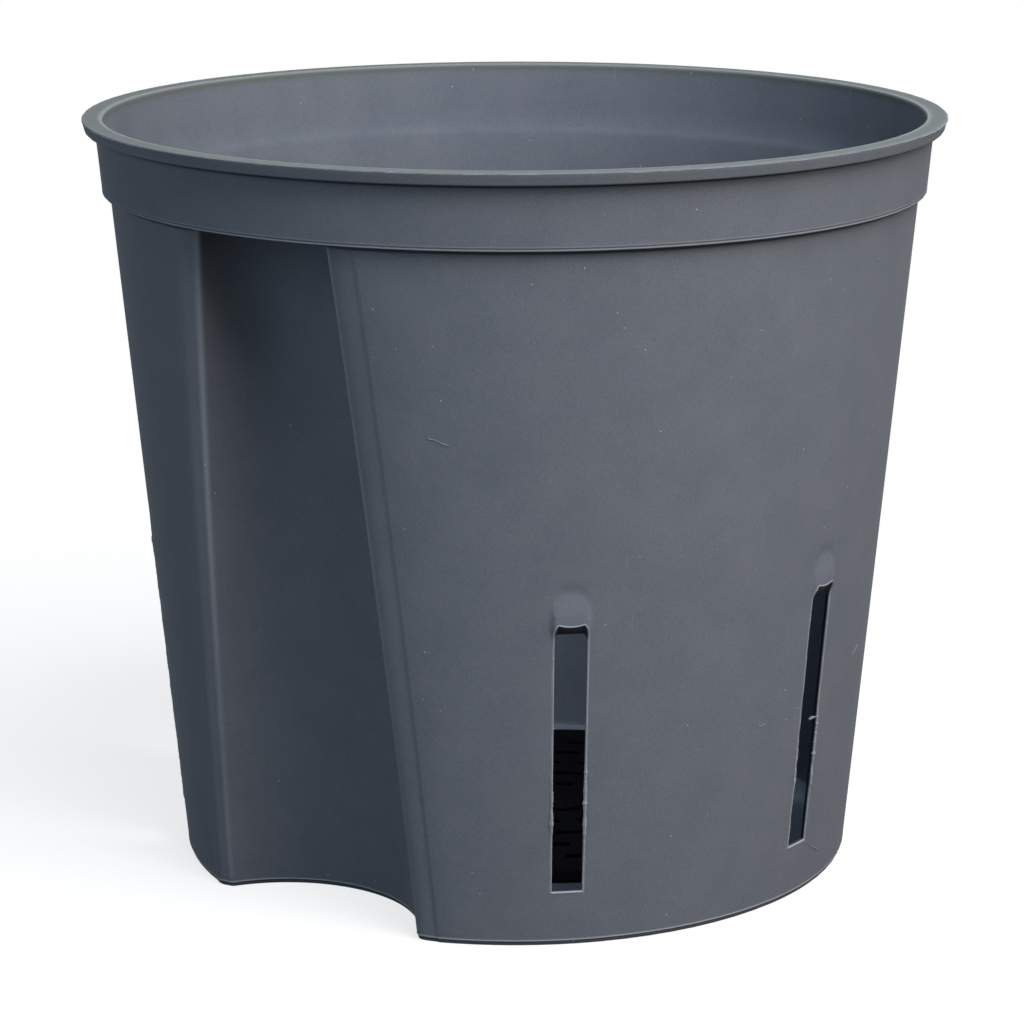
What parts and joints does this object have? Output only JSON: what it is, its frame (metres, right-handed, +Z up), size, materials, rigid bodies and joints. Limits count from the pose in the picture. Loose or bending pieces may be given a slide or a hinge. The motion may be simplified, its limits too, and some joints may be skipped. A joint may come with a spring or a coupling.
{
  "type": "hydroculture pot",
  "caption": "Tapered round culture pot with a stepped collar, a gauge channel down one side and tall water slots, and a loose strainer over the opening in its floor.",
  "frame": {"origin": "on the pot's axis, at the base it stands on", "axes": "+Z up along the pot's axis; the gauge channel faces -Y, and YZ is the mirror plane"},
  "size_m": [0.2164, 0.2164, 0.19],
  "materials": {
    "culture_pot": "satin moulded",
    "strainer_disc": "matt moulded"
  },
  "bodies": {
    "pot": {"culture_pot": "culture_pot"},
    "strainer": {"strainer_disc": "strainer_disc"}
  },
  "joints": [
    {"name": "strainer_lift", "type": "slide", "parent": "pot", "child": "strainer", "axis": [0, 0, 1], "range_m": [0, 0.2]}
  ]
}
